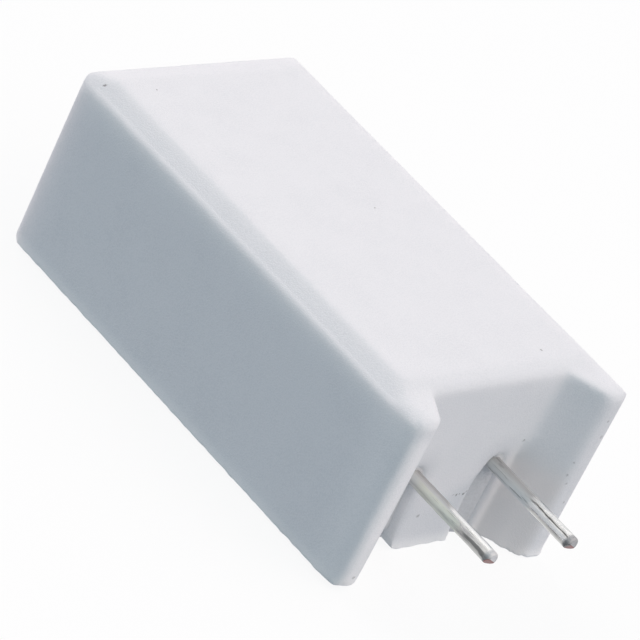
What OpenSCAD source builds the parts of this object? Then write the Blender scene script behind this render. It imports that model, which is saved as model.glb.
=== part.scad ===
// Upright cement resistor, lying on its back with its two leads towards -Y.
// A wire-wound rod is cemented into a pressed ceramic case that is open at the back.
// Origin: the middle of the whole outline on the surface that the back lies on.

/* [Case] */
// Width across the front rim
case_w = 13; // [12.4:0.1:16]
// Length from the tips of the feet to the far end
case_l = 24.3; // [22:0.1:32]
// Height of the front rim above the back
rim_h = 9.15; // [8:0.05:11]
// Rise of the front panel above the rim
panel_rise = 0.22; // [0.1:0.02:0.4]
// Width of the flat lip along the rim, its rounding included
rim_lip = 0.36; // [0.3:0.02:0.5]
// Width of the border on the long sides, from the side to the panel's flat
side_border = 1.15; // [0.9:0.05:1.6]
// Width of the border at the lead end, from the end face to the panel
near_border = 0.72; // [0.5:0.02:1.2]
// Width of the border at the far end, from the end to the panel
far_border = 1.1; // [0.8:0.05:1.6]
// How far each long side leans in at the back
side_draft = 0.03; // [0:0.01:0.2]
// How far the far end leans in at the back
end_draft = 0.2; // [0:0.01:0.3]
// Radius of the rim's outer edge
rim_r = 0.24; // [0.15:0.01:0.28]
// Radius of the back's long edges and of the far upright edges
edge_r = 0.38; // [0.2:0.02:0.6]
// Radius of the far end's back edge
heel_r = 0.9; // [0.4:0.05:1.2]
// Thickness of the long walls at the back
side_wall = 1.05; // [0.8:0.05:1.3]
// Thickness of the wall at each end
end_wall = 0.85; // [0.7:0.05:1.3]
// Thickness of the front wall under the panel
front_wall = 1.3; // [1:0.05:1.7]
// Radius of the cavity's upright corners
cavity_r = 0.6; // [0.3:0.05:1]

/* [Feet] */
// Height of the feet above the end face between them
foot_h = 1.86; // [1.2:0.02:2.4]
// Thickness of a foot where it leaves the end face
foot_base = 2.35; // [2:0.05:2.7]
// Thickness of a foot at its tip
foot_tip = 1.25; // [1.1:0.05:1.8]
// Radius of the long edges of a foot's tip
foot_tip_r = 0.42; // [0.2:0.02:0.5]
// Radius in the corner between a foot and the end face
foot_fillet = 0.3; // [0.1:0.05:0.6]
// Radius of a foot's back corner
toe_r = 0.55; // [0.4:0.05:1.4]

/* [Lead slots] */
// Width of a slot
slot_w = 1.35; // [1.1:0.05:1.9]
// Gap between a lead and the round end of its slot
slot_gap = 0.2; // [0.05:0.05:0.4]
// Radius of a slot's outer edge
slot_edge_r = 0.1; // [0.05:0.05:0.3]

/* [Leads] */
// Diameter of a tinned lead
lead_d = 0.7; // [0.5:0.05:0.9]
// Distance between the two leads
lead_pitch = 5; // [4.6:0.1:5.4]
// Length of a lead past the tips of the feet
lead_out = 3.65; // [2:0.05:12]
// Height of the leads above the back
lead_z = 4.3; // [3.8:0.1:5]
// Thickness of the tin, which thins out inside the slot
tin_t = 0.01; // [0.005:0.005:0.03]
// Radius of a lead's cut end
cut_r = 0.14; // [0.05:0.01:0.2]

/* [Element] */
// Diameter of the ceramic core
core_d = 3.6; // [2.5:0.1:4]
// Thickness of a cap's sheet
cap_t = 0.25; // [0.15:0.05:0.35]
// Length of a cap
cap_l = 2; // [1.4:0.1:3]
// Outer edge radius of a cap's closed end
cap_r = 0.2; // [0.1:0.02:0.3]
// Diameter of the resistance wire
wire_d = 0.25; // [0.15:0.05:0.3]
// Distance from turn to turn
wire_pitch = 0.65; // [0.5:0.05:1.2]
// Gap between the wire and what it lies on
wire_gap = 0.01; // [0.005:0.005:0.03]
// Length of a cap that the wire laps over
wire_lap = 0.7; // [0.4:0.05:1]
// Length of the return lead between the far cap and the bend
lead_stub = 0.5; // [0.3:0.1:1.5]

/* [Cement] */
// Depth of the cement below the case's back rim
cement_sink = 0.2; // [0.05:0.05:0.8]
// Cement between the end wall and the near cap
near_cover = 1; // [0.5:0.1:3]
// Cement between the bend of the return lead and the far wall
far_cover = 0.6; // [0.3:0.1:2]

/* [Hidden] */

// Steps in each rounded corner of an outline
arc_steps = 6;
// Overlap of a cut past the face that it opens
over = 1;
// Steps in a turn of the wire, and sides of its section
turn_steps = 16;
wire_sides = 6;
// Smoothness of the round pieces
$fn = 48;

// Stations along the length
tip_y = -(case_l + lead_out) / 2;
feet_y = tip_y + lead_out;
far_y = feet_y + case_l;
face_y = feet_y + foot_h;
cavity_near_y = face_y + end_wall;
cavity_far_y = far_y - end_draft - end_wall;
near_cap_y = cavity_near_y + near_cover;
bend_y = cavity_far_y - far_cover - lead_d / 2 - lead_pitch / 2;
far_cap_y = bend_y - lead_stub;
near_rim_y = near_cap_y + cap_l;
far_rim_y = far_cap_y - cap_l;

// Half widths and heights of the case
rim_x = case_w / 2;
back_x = rim_x - side_draft;
panel_z = rim_h + panel_rise;
cavity_x = back_x - side_wall;
cavity_z = panel_z - front_wall;

// The slots' round ends sit over the leads
slot_z = lead_z + lead_d / 2 + slot_gap - slot_w / 2;

// Radii of the element, where a turn's flat chords just clear what is inside them
bare_r = lead_d / 2 - tin_t;
core_r = core_d / 2;
cap_outer_r = core_r + cap_t;
chord = 1 / cos(180 / turn_steps);
turn_on_core_r = (core_r + wire_d / 2 + wire_gap) * chord;
turn_on_cap_r = (cap_outer_r + wire_d / 2 + wire_gap) * chord;

// Points of the arc of radius r that rounds the corner q between p and s
function corner_arc(p, q, s, r) =
    let (
        a = (p - q) / norm(p - q),
        b = (s - q) / norm(s - q),
        half = acos(a * b) / 2,
        centre = q + (a + b) / norm(a + b) * r / sin(half),
        from = q + a * r / tan(half) - centre,
        to = q + b * r / tan(half) - centre,
        start = atan2(from.y, from.x),
        turn = atan2(cross(from, to), from * to)
    )
    [for (i = [0 : arc_steps]) centre + r * [
        cos(start + turn * i / arc_steps),
        sin(start + turn * i / arc_steps)
    ]];

// Outline through corners [x, y, radius], where a radius of 0 leaves a corner sharp
function rounded(corners) =
    let (n = len(corners), flat = [for (c = corners) [c[0], c[1]]])
    [for (i = [0 : n - 1]) each
        corners[i][2] == 0
            ? [flat[i]]
            : corner_arc(flat[(i + n - 1) % n], flat[i], flat[(i + 1) % n], corners[i][2])
    ];

// Corners of a whole outline from those of its right half
function mirrored(half) =
    concat(half, [for (i = [len(half) - 1 : -1 : 0]) [-half[i][0], half[i][1], half[i][2]]]);

// Turns a revolved piece so that its axis lies along Y at this place across the case
module along_y(x) {
    translate([x, 0, lead_z])
        rotate([-90, 0, 0])
            children();
}

// Section across the case: leaning sides, flat lip, and a shoulder that is one arc up to the panel
module cross_section() {
    run = side_border - rim_lip;
    tilt = atan(panel_rise / (run / 2));
    shoulder_r = run / 2 / tan(tilt / 2);
    polygon(rounded(mirrored([
        [back_x, 0, edge_r],
        [rim_x, rim_h, rim_r],
        [rim_x - rim_lip, rim_h, 0],
        [rim_x - rim_lip - run / 2, panel_z, shoulder_r]
    ])));
}

// Section along the case: feet at rim height, then the panel between its two end slopes
module long_section() {
    polygon(rounded([
        [feet_y, 0, toe_r],
        [far_y - end_draft, 0, heel_r],
        [far_y, rim_h, rim_r],
        [far_y - rim_lip, rim_h, 0],
        [far_y - far_border, panel_z, 0],
        [face_y + near_border, panel_z, 0],
        [face_y, rim_h, 0],
        [feet_y, rim_h, rim_r]
    ]));
}

// Plan of the case: two feet with sloped inner sides and the end face between them
module plan() {
    polygon(rounded(mirrored([
        [rim_x - foot_base, face_y, foot_fillet],
        [rim_x - foot_tip, feet_y, foot_tip_r],
        [rim_x, feet_y, foot_tip_r],
        [rim_x, far_y, edge_r]
    ])));
}

// Outline of the cavity that the cement fills
module cavity_plan() {
    polygon(rounded(mirrored([
        [cavity_x, cavity_near_y, cavity_r],
        [cavity_x, cavity_far_y, cavity_r]
    ])));
}

// A slot from the back up to its lead, with its outer edge rounded all the way round
module lead_slot(x) {
    half = [
        [slot_w / 2, cavity_near_y + over, 0],
        [slot_w / 2, face_y, slot_edge_r],
        [slot_w / 2 + slot_edge_r, face_y, 0],
        [slot_w / 2 + slot_edge_r, face_y - foot_h / 2, 0]
    ];
    inside = [[0, face_y - foot_h / 2, 0], [0, cavity_near_y + over, 0]];
    translate([x, 0, slot_z])
        rotate([-90, 0, 0])
            rotate_extrude()
                polygon(rounded(concat(half, inside)));
    translate([x, 0, -over])
        linear_extrude(slot_z + over)
            polygon(rounded(mirrored([for (i = [len(half) - 1 : -1 : 0]) half[i]])));
}

// The pressed and fired case, one piece
module ceramic_case() {
    color("whitesmoke")
        difference() {
            intersection() {
                translate([0, far_y + over, 0])
                    rotate([90, 0, 0])
                        linear_extrude(case_l + 2 * over)
                            cross_section();
                translate([-rim_x - over, 0, 0])
                    rotate([90, 0, 90])
                        linear_extrude(case_w + 2 * over)
                            long_section();
                translate([0, 0, -over])
                    linear_extrude(panel_z + 2 * over)
                        plan();
            }
            translate([0, 0, -over])
                linear_extrude(cavity_z + over)
                    cavity_plan();
            for (side = [-1, 1])
                lead_slot(side * lead_pitch / 2);
        }
}

// Room in the cement for the rod, its caps and the turns of wire
module element_seat() {
    winding_r = turn_on_core_r + wire_d / 2;
    lap_r = turn_on_cap_r + wire_d / 2;
    // The last turns climb on to a cap within this distance of its rim
    climb_end = wire_pitch / 4 + wire_d + wire_gap;
    lap_near_y = near_rim_y - wire_lap - wire_d;
    lap_far_y = far_rim_y + wire_lap + wire_d;
    along_y(-lead_pitch / 2)
        rotate_extrude()
            polygon([
                [0, near_cap_y],
                [cap_outer_r, near_cap_y],
                [cap_outer_r, lap_near_y],
                [lap_r, lap_near_y],
                [lap_r, near_rim_y + climb_end],
                [winding_r, near_rim_y + climb_end],
                [winding_r, far_rim_y - climb_end],
                [lap_r, far_rim_y - climb_end],
                [lap_r, lap_far_y],
                [cap_outer_r, lap_far_y],
                [cap_outer_r, far_cap_y],
                [0, far_cap_y]
            ]);
}

// The cement, poured in from the back round the element and both leads
module cement_fill() {
    color("gainsboro")
        difference() {
            translate([0, 0, cement_sink])
                linear_extrude(cavity_z - cement_sink)
                    cavity_plan();
            element_seat();
            straight_wire();
            return_wire();
        }
}

// The ceramic rod
module winding_core() {
    color("ivory")
        translate([0, near_cap_y + cap_t, 0])
            along_y(-lead_pitch / 2)
                cylinder(r = core_r, h = far_cap_y - near_cap_y - 2 * cap_t);
}

// Distance of the wire's middle from the rod's axis at a station, up on the caps and down on the core
function turn_r(y) =
    let (
        inside = min(y - near_rim_y, far_rim_y - y),
        climb = (inside - wire_d / 2 - wire_gap) / (wire_pitch / 4)
    )
    turn_on_cap_r + (turn_on_core_r - turn_on_cap_r) * min(max(climb, 0), 1);

// The resistance wire, an even helix whose ends lap over the caps
module resistance_wire() {
    start_y = near_rim_y - wire_lap;
    travel = far_rim_y + wire_lap - start_y;
    rings = ceil(travel / wire_pitch * turn_steps);
    function ring_y(i) = start_y + travel * i / rings;
    function spot(i, k) =
        let (
            angle = 360 * i / turn_steps,
            side = 360 * k / wire_sides,
            r = turn_r(ring_y(i)) + wire_d / 2 * cos(side)
        )
        [r * cos(angle), ring_y(i) + wire_d / 2 * sin(side), r * sin(angle)];
    points = [for (i = [0 : rings], k = [0 : wire_sides - 1]) spot(i, k)];
    skin = [for (i = [0 : rings - 1], k = [0 : wire_sides - 1])
        let (
            a = i * wire_sides + k,
            b = i * wire_sides + (k + 1) % wire_sides
        )
        each [[a, b, b + wire_sides], [a, b + wire_sides, a + wire_sides]]
    ];
    last = rings * wire_sides;
    ends = [
        [for (k = [wire_sides - 1 : -1 : 0]) k],
        [for (k = [0 : wire_sides - 1]) last + k]
    ];
    color("darkgray")
        translate([-lead_pitch / 2, 0, lead_z])
            polyhedron(points, concat(skin, ends));
}

// A pressed cup, closed at the bottom, with its axis along Z
module cap() {
    rotate_extrude()
        polygon(rounded([
            [0, 0, 0],
            [cap_outer_r, 0, cap_r],
            [cap_outer_r, cap_l, 0],
            [core_r, cap_l, 0],
            [core_r, cap_t, 0],
            [0, cap_t, 0]
        ]));
}

// The cap that the straight lead is welded to
module near_cap() {
    color("silver")
        translate([0, near_cap_y, 0])
            along_y(-lead_pitch / 2)
                cap();
}

// The cap that the return lead is welded to
module far_cap() {
    color("silver")
        translate([0, far_cap_y, 0])
            along_y(-lead_pitch / 2)
                mirror([0, 0, 1])
                    cap();
}

// A lead from its cut end to a station inside: tinned outside, bare in the cement
module lead_wire(x, end_y) {
    along_y(x)
        rotate_extrude()
            polygon(rounded([
                [lead_d / 2, tip_y, cut_r],
                [lead_d / 2, face_y, 0],
                [bare_r, cavity_near_y, 0],
                [bare_r, end_y, 0],
                [0, end_y, 0],
                [0, tip_y, 0]
            ]));
}

module straight_wire() {
    lead_wire(-lead_pitch / 2, near_cap_y);
}

// Straight in past the rod, half a turn behind it, and a stub to the far cap
module return_wire() {
    lead_wire(lead_pitch / 2, bend_y);
    translate([0, bend_y, lead_z])
        rotate_extrude(angle = 180)
            translate([lead_pitch / 2, 0])
                circle(r = bare_r);
    translate([0, far_cap_y, 0])
        along_y(-lead_pitch / 2)
            cylinder(r = bare_r, h = lead_stub);
}

// The lead from the near cap
module lead_straight() {
    color("lightgray")
        straight_wire();
}

// The lead from the far cap
module lead_return() {
    color("lightgray")
        return_wire();
}

ceramic_case();
cement_fill();
winding_core();
resistance_wire();
near_cap();
far_cap();
lead_straight();
lead_return();
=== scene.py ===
# %% [markdown]
# # A cement resistor, from its solids to its looks
# The real part is a wire-wound rod, cemented into a white ceramic box that was pressed and fired in
# one piece. Two tinned leads leave it through slots between the box's feet. The solids are loaded
# here as a fixed frame, and every piece that shows gets a finer skin and its own finish.

# %% Load the frame
import math

import bmesh
import bpy
import numpy as np
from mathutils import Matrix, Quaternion, Vector, noise


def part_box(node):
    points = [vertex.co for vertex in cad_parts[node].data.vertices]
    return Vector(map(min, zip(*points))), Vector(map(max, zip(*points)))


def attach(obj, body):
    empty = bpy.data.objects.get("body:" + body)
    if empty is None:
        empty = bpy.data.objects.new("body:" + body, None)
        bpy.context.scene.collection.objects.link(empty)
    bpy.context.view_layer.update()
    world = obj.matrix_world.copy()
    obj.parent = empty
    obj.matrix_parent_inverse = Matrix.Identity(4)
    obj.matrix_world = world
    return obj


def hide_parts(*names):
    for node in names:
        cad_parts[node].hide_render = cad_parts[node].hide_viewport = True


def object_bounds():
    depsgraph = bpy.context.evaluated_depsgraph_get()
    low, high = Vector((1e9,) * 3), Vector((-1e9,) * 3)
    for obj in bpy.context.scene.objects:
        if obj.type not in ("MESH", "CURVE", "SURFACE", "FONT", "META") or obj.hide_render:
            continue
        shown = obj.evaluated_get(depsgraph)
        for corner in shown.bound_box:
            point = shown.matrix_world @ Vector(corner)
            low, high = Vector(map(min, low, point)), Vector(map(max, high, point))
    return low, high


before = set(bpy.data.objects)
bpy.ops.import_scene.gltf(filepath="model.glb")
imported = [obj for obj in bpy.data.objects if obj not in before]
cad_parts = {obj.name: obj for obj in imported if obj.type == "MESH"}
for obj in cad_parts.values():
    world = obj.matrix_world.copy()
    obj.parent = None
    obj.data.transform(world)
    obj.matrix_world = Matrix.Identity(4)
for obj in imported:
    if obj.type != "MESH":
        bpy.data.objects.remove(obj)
cad_low, cad_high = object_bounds()
scene = bpy.context.scene
MM = 0.001
print("CAD box in mm:", [round(v / MM, 2) for v in cad_high - cad_low])

# %% [markdown]
# ## Stations
# The main places in this script come from the boxes of the solids, so they follow the part. Places of
# wear, which belong to one sample, are written in millimetres of the same frame, and so is the depth
# of the end face behind the feet, which is in no box. The leads run along Y, the case lies on its
# back at Z = 0, and the feet point towards -Y.

# %% Stations read from the solids
FOOT_H = 1.86 * MM

case_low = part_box("ceramic_case")[0]
cement_low, cement_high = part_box("cement_fill")
straight_low, straight_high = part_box("lead_straight")
return_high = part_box("lead_return")[1]
lead_r = (straight_high.x - straight_low.x) / 2
lead_z = (straight_low.z + straight_high.z) / 2
left_x = straight_low.x + lead_r
right_x = return_high.x - lead_r
feet_y = case_low.y
face_y = feet_y + FOOT_H
print("leads at x", round(left_x / MM, 2), "and", round(right_x / MM, 2), "mm, z", round(lead_z / MM, 2))

# %% [markdown]
# ## Camera
# The photograph is taken from far away with a long lens, above the left lead-end corner, and the
# camera is rolled to one side. A long lens keeps the box's edges nearly parallel. The angles, the
# distance and the point in the middle of the picture were fitted to the corners of the case.

# %% Camera at the photograph's angle
IMAGE_PX = 640
FOCAL_PX = 4854
SENSOR_MM = 36
VIEW_AZIMUTH = math.radians(-54.357)
VIEW_ELEVATION = math.radians(29.386)
VIEW_ROLL = math.radians(27.019)
VIEW_DISTANCE = 209.49 * MM
AIM = Vector((-0.478, 1.003, 4.948)) * MM

towards_camera = Vector((
    math.sin(VIEW_AZIMUTH) * math.cos(VIEW_ELEVATION),
    -math.cos(VIEW_AZIMUTH) * math.cos(VIEW_ELEVATION),
    math.sin(VIEW_ELEVATION),
))
lens = bpy.data.cameras.new("photo_lens")
lens.sensor_width = SENSOR_MM
lens.lens = FOCAL_PX * SENSOR_MM / IMAGE_PX
lens.clip_start = VIEW_DISTANCE / 20
camera = bpy.data.objects.new("photo_camera", lens)
camera.location = AIM + towards_camera * VIEW_DISTANCE
camera.rotation_mode = "QUATERNION"
level = (-towards_camera).to_track_quat("-Z", "Y")
camera.rotation_quaternion = level @ Quaternion((0, 0, 1), VIEW_ROLL)
scene.collection.objects.link(camera)
scene.camera = camera
scene.view_settings.view_transform = "Standard"
print("lens", round(lens.lens, 1), "mm")

# %% [markdown]
# ## Building materials from nodes
# A material is a small graph. These helpers add one node each and wire its sockets, so that the
# cells below read like a recipe. A socket is given either a number or another node's output.

# %% Node helpers
def wire(tree, socket, value):
    """Feed a socket from another node's output, or set it to a plain value."""
    if isinstance(value, bpy.types.NodeSocket):
        tree.links.new(value, socket)
    else:
        socket.default_value = value


def add_node(tree, kind, **sockets):
    """Add a node and feed the sockets that are named, with _ for a space."""
    made = tree.nodes.new(kind)
    for name, value in sockets.items():
        wire(tree, made.inputs[name.replace("_", " ")], value)
    return made


def calculate(tree, operation, *values):
    """A Math node's result."""
    made = tree.nodes.new("ShaderNodeMath")
    made.operation = operation
    for socket, value in zip(made.inputs, values):
        wire(tree, socket, value)
    return made.outputs[0]

# %% Vector helpers
def vector_math(tree, operation, *values):
    """A Vector Math node, fed with these values."""
    made = tree.nodes.new("ShaderNodeVectorMath")
    made.operation = operation
    for socket, value in zip(made.inputs, values):
        wire(tree, socket, value)
    return made


def combine_vectors(tree, operation, *values):
    """A vector made from other vectors."""
    return vector_math(tree, operation, *values).outputs["Vector"]


def measure_vectors(tree, operation, *values):
    """A number made from vectors, such as the distance between two points."""
    return vector_math(tree, operation, *values).outputs["Value"]


def scale_vector(tree, vector, factor):
    """A vector times a number."""
    made = vector_math(tree, "SCALE", vector)
    wire(tree, made.inputs["Scale"], factor)
    return made.outputs["Vector"]

# %% Colour helpers
def mix_colours(tree, share, first, second):
    """The first colour where share is 0, the second where it is 1."""
    made = tree.nodes.new("ShaderNodeMix")
    made.data_type = "RGBA"
    for name, value in (("Factor_Float", share), ("A_Color", first), ("B_Color", second)):
        socket = next(s for s in made.inputs if s.identifier == name)
        wire(tree, socket, value)
    return next(s for s in made.outputs if s.identifier == "Result_Color")


def fade(tree, value, low, high, low_out=0.0, high_out=1.0):
    """A smooth step of a value from low to high."""
    made = add_node(tree, "ShaderNodeMapRange", Value=value, From_Min=low, From_Max=high,
                    To_Min=low_out, To_Max=high_out)
    made.interpolation_type = "SMOOTHSTEP"
    return made.outputs["Result"]

# %% [markdown]
# ## Effects that several materials share
# Fired grain, specks and drawn streaks come back on more than one piece. Each is a node group, built
# once and placed in a material with its own sizes in millimetres. The groups put out masks and
# values only, and the shader stays in the material.

# %% A helper for groups
NOISE_ROUGHNESS = 0.6


def new_group(name, inputs, outputs):
    """An empty node group with named float inputs after a point, and its two ends."""
    tree = bpy.data.node_groups.new(name, "ShaderNodeTree")
    tree.interface.new_socket("Point", in_out="INPUT", socket_type="NodeSocketVector")
    for label in inputs:
        tree.interface.new_socket(label, in_out="INPUT", socket_type="NodeSocketFloat")
    for label in outputs:
        tree.interface.new_socket(label, in_out="OUTPUT", socket_type="NodeSocketFloat")
    return tree, tree.nodes.new("NodeGroupInput").outputs, tree.nodes.new("NodeGroupOutput").inputs


def place_group(tree, group, **sockets):
    """Put a group into a material and return its outputs."""
    made = tree.nodes.new("ShaderNodeGroup")
    made.node_tree = group
    for name, value in sockets.items():
        wire(tree, made.inputs[name.replace("_", " ")], value)
    return made.outputs


def noise_of(tree, point, detail):
    """A noise texture's value, from 0 to 1 around 0.5."""
    made = add_node(tree, "ShaderNodeTexNoise", Vector=point, Scale=1.0, Detail=detail,
                    Roughness=NOISE_ROUGHNESS)
    return made.outputs["Fac"]

# %% Fired grain: fine tooth and broad mottling
grain_group, ends_in, ends_out = new_group("fired_grain", ["Grain Size", "Mottle Size"], ["Grain", "Mottle"])
for label, detail in (("Grain", 3.0), ("Mottle", 2.0)):
    frequency = calculate(grain_group, "DIVIDE", 1.0, ends_in[label + " Size"])
    scaled = scale_vector(grain_group, ends_in["Point"], frequency)
    grain_group.links.new(noise_of(grain_group, scaled, detail), ends_out[label])
print("group", grain_group.name, "has", len(grain_group.nodes), "nodes")

# %% Specks: a few dark grains of unequal size
speck_group, ends_in, ends_out = new_group("dark_specks", ["Spacing", "Size", "Share"], ["Mask"])
frequency = calculate(speck_group, "DIVIDE", 1.0, ends_in["Spacing"])
scaled = scale_vector(speck_group, ends_in["Point"], frequency)
cells = add_node(speck_group, "ShaderNodeTexVoronoi", Vector=scaled, Scale=1.0)
chance = add_node(speck_group, "ShaderNodeSeparateColor", Color=cells.outputs["Color"])
away = calculate(speck_group, "MULTIPLY", cells.outputs["Distance"], ends_in["Spacing"])
reach = calculate(speck_group, "MULTIPLY", chance.outputs["Red"], ends_in["Size"])
inside = calculate(speck_group, "SUBTRACT", 1.0, calculate(speck_group, "DIVIDE", away, reach))
chosen = calculate(speck_group, "LESS_THAN", chance.outputs["Green"], ends_in["Share"])
mask = calculate(speck_group, "MULTIPLY", fade(speck_group, inside, 0.0, 0.5), chosen)
speck_group.links.new(mask, ends_out["Mask"])
print("group", speck_group.name, "has", len(speck_group.nodes), "nodes")

# %% Drawn streaks: noise stretched along the wire
streak_group, ends_in, ends_out = new_group("drawn_streaks", ["Width", "Length"], ["Streak", "Patch"])
across = calculate(streak_group, "DIVIDE", 1.0, ends_in["Width"])
along = calculate(streak_group, "DIVIDE", 1.0, ends_in["Length"])
for label, spread, detail in (("Streak", 1.0, 2.0), ("Patch", 4.0, 3.0)):
    wide = calculate(streak_group, "DIVIDE", across, spread)
    stretch = add_node(streak_group, "ShaderNodeCombineXYZ", X=wide, Y=along, Z=wide).outputs["Vector"]
    stretched = combine_vectors(streak_group, "MULTIPLY", ends_in["Point"], stretch)
    streak_group.links.new(noise_of(streak_group, stretched, detail), ends_out[label])
print("group", streak_group.name, "has", len(streak_group.nodes), "nodes")

# %% [markdown]
# ## Starting a material
# Every material works in millimetres of the part's own frame, so a grain size in a recipe is the
# size on the real thing. Bump comes last, as a height in millimetres.

# %% Material starters
def start_material(name):
    """A material with its tree, its shader and the surface point in millimetres."""
    made = bpy.data.materials.new(name)
    made.use_nodes = True
    tree = made.node_tree
    shader = tree.nodes["Principled BSDF"]
    place = tree.nodes.new("ShaderNodeTexCoord").outputs["Object"]
    point = scale_vector(tree, place, 1 / MM)
    return made, tree, shader, point


def raise_surface(tree, shader, height, millimetres):
    """Bump the shader's normal by a height from 0 to 1, worth this many millimetres."""
    bump = add_node(tree, "ShaderNodeBump", Height=height, Strength=1.0, Distance=millimetres * MM)
    tree.links.new(bump.outputs["Normal"], shader.inputs["Normal"])


def share_of(tree, value, low, high):
    """A value from 0 to 1 turned into the range from low to high."""
    return calculate(tree, "MULTIPLY_ADD", value, high - low, low)

# %% [markdown]
# ## White ceramic
# The case is pressed from fine powder and fired without a glaze. It is matt and almost white, with a
# tooth finer than a tenth of a millimetre, faint broad mottling, and here and there a dark grain. Its
# lowest part is painted paler towards the back face, as painted light from below, the end face is
# greyer round the roots of the leads, and painted warm bounce light lies low on the right foot's
# inner side. A painted texture could carry all this, but masks that are worked out from the surface
# point need no image and stay sharp in a close-up.
# Rub marks from handling are listed one by one, since where they sit is part of the likeness.

# %% Rub marks
RUB_RAGGED = 0.16
RUB_CORE = 0.4
RUB_MARKS = [  # x, y, z and size in mm, then strength
    (-5.97, 12.9, 9.05, 0.12, 0.7), (-3.77, 11.97, 9.37, 0.07, 0.6), (2.04, 2.91, 9.37, 0.07, 0.6),
    (3.53, -7.12, 9.37, 0.08, 0.6), (3.65, -8.46, 5.45, 0.1, 0.45), (-0.84, -8.46, 1.89, 0.12, 0.4),
    (0.78, -8.46, 2.82, 0.06, 0.4), (1.02, -8.46, 2.8, 0.09, 0.7), (1.19, -8.46, 2.8, 0.07, 0.5),
    (1.46, -8.46, 2.78, 0.09, 0.7), (1.6, -8.45, 2.88, 0.07, 0.5), (-5.76, -10.32, 0.83, 0.12, 0.4),
    (5.86, -10.33, 7.74, 0.1, 0.35), (6.0, -10.32, 6.85, 0.14, 0.25), (5.24, -10.22, 5.43, 0.08, 0.3),
    (5.25, -10.23, 4.73, 0.08, 0.35), (5.4, -10.3, 4.3, 0.08, 0.25), (5.9, -10.33, 3.18, 0.08, 0.35),
]


def rub_mask(tree, point, ragged):
    """The strength of a rub mark inside it, and 0 outside, with ragged borders."""
    shifted = combine_vectors(tree, "MULTIPLY_ADD", ragged, (RUB_RAGGED,) * 3, point)
    total = 0.0
    for *place, size, strength in RUB_MARKS:
        middle = [v + RUB_RAGGED / 2 for v in place]
        away = measure_vectors(tree, "DISTANCE", shifted, middle)
        mark = fade(tree, away, size, size * RUB_CORE, 0.0, strength)
        total = calculate(tree, "MAXIMUM", total, mark)
    return total


print(len(RUB_MARKS), "rub marks on the case")

# %% Grey roots and painted warm bounce light
ROOT_REACH = 1.7
ROOT_CORE = 0.3
BOUNCE_FROM_X = (2.6, 3.6)
BOUNCE_TO_X = (5.6, 5.0)
BOUNCE_BELOW_Z = (5.6, 3.6)
BOUNCE_BEFORE_Y = (face_y / MM + 0.6, face_y / MM + 0.1)


def root_mask(tree, point):
    """1 on the end face beside a lead's root, and 0 further off."""
    total = 0.0
    for x in (left_x, right_x):
        root = Vector((x, face_y, lead_z + lead_r)) / MM
        away = measure_vectors(tree, "DISTANCE", point, root)
        total = calculate(tree, "MAXIMUM", total, fade(tree, away, ROOT_REACH, ROOT_CORE))
    return total


def warm_bounce_mask(tree, place):
    """1 where painted warm bounce light lies, on the lower part of the right foot's inner side, and 0
    elsewhere.
    """
    total = 1.0
    for axis, edge in (("X", BOUNCE_FROM_X), ("X", BOUNCE_TO_X), ("Z", BOUNCE_BELOW_Z), ("Y", BOUNCE_BEFORE_Y)):
        total = calculate(tree, "MULTIPLY", total, fade(tree, place[axis], *edge))
    return total

# %% The case's ceramic
CERAMIC_WHITE = (0.88, 0.885, 0.90, 1)
CERAMIC_SHADE = (0.81, 0.82, 0.84, 1)
SPECK_GREY = (0.17, 0.16, 0.15, 1)
# Painted light from below: the case turns paler over its lowest 0.9 mm, towards the back face.
PAINTED_LOW_LIGHT = (0.99, 0.99, 0.99, 1)
LOW_LIGHT_HEIGHT = 0.9
# Painted warm bounce light, low on the right foot's inner side.
PAINTED_WARM_BOUNCE = (0.885, 0.85, 0.835, 1)
MOTTLE_SHARE = 0.35
GRAIN_SHARE = (-0.4, 0.6)
SPECK_SHARE = 0.8
CERAMIC_TOOTH = 0.016


def make_ceramic():
    """Matt white ceramic with its grain, specks and rub marks, greyer round the lead roots, with painted
    light low down and painted warm bounce light on the right foot.
    """
    made, tree, shader, point = start_material("fired_white_ceramic")
    place = add_node(tree, "ShaderNodeSeparateXYZ", Vector=point).outputs
    fired = place_group(tree, grain_group, Point=point, Grain_Size=0.07, Mottle_Size=2.4)
    specks = place_group(tree, speck_group, Point=point, Spacing=1.3, Size=0.1, Share=0.12)["Mask"]
    ragged = add_node(tree, "ShaderNodeTexNoise", Vector=point, Scale=9.0).outputs["Color"]
    mottle = calculate(tree, "MULTIPLY", fade(tree, fired["Mottle"], 0.35, 0.75), MOTTLE_SHARE)
    grain = share_of(tree, fade(tree, fired["Grain"], 0.3, 0.7), *GRAIN_SHARE)
    tone = calculate(tree, "ADD", calculate(tree, "ADD", mottle, grain), root_mask(tree, point))
    body = mix_colours(tree, tone, CERAMIC_WHITE, CERAMIC_SHADE)
    # Painted light from below: paler towards the back face.
    body = mix_colours(tree, fade(tree, place["Z"], LOW_LIGHT_HEIGHT, 0.0), body, PAINTED_LOW_LIGHT)
    # Painted warm bounce light on the right foot's inner side.
    body = mix_colours(tree, warm_bounce_mask(tree, place), body, PAINTED_WARM_BOUNCE)
    speckled = calculate(tree, "MULTIPLY", specks, SPECK_SHARE)
    dark = calculate(tree, "MAXIMUM", speckled, rub_mask(tree, point, ragged))
    tree.links.new(mix_colours(tree, dark, body, SPECK_GREY), shader.inputs["Base Color"])
    tree.links.new(share_of(tree, fired["Grain"], 0.6, 0.85), shader.inputs["Roughness"])
    shader.inputs["Specular IOR Level"].default_value = 0.25
    raise_surface(tree, shader, calculate(tree, "SUBTRACT", fired["Grain"], specks), CERAMIC_TOOTH)
    return made


ceramic = make_ceramic()
print("material", ceramic.name)

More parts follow.
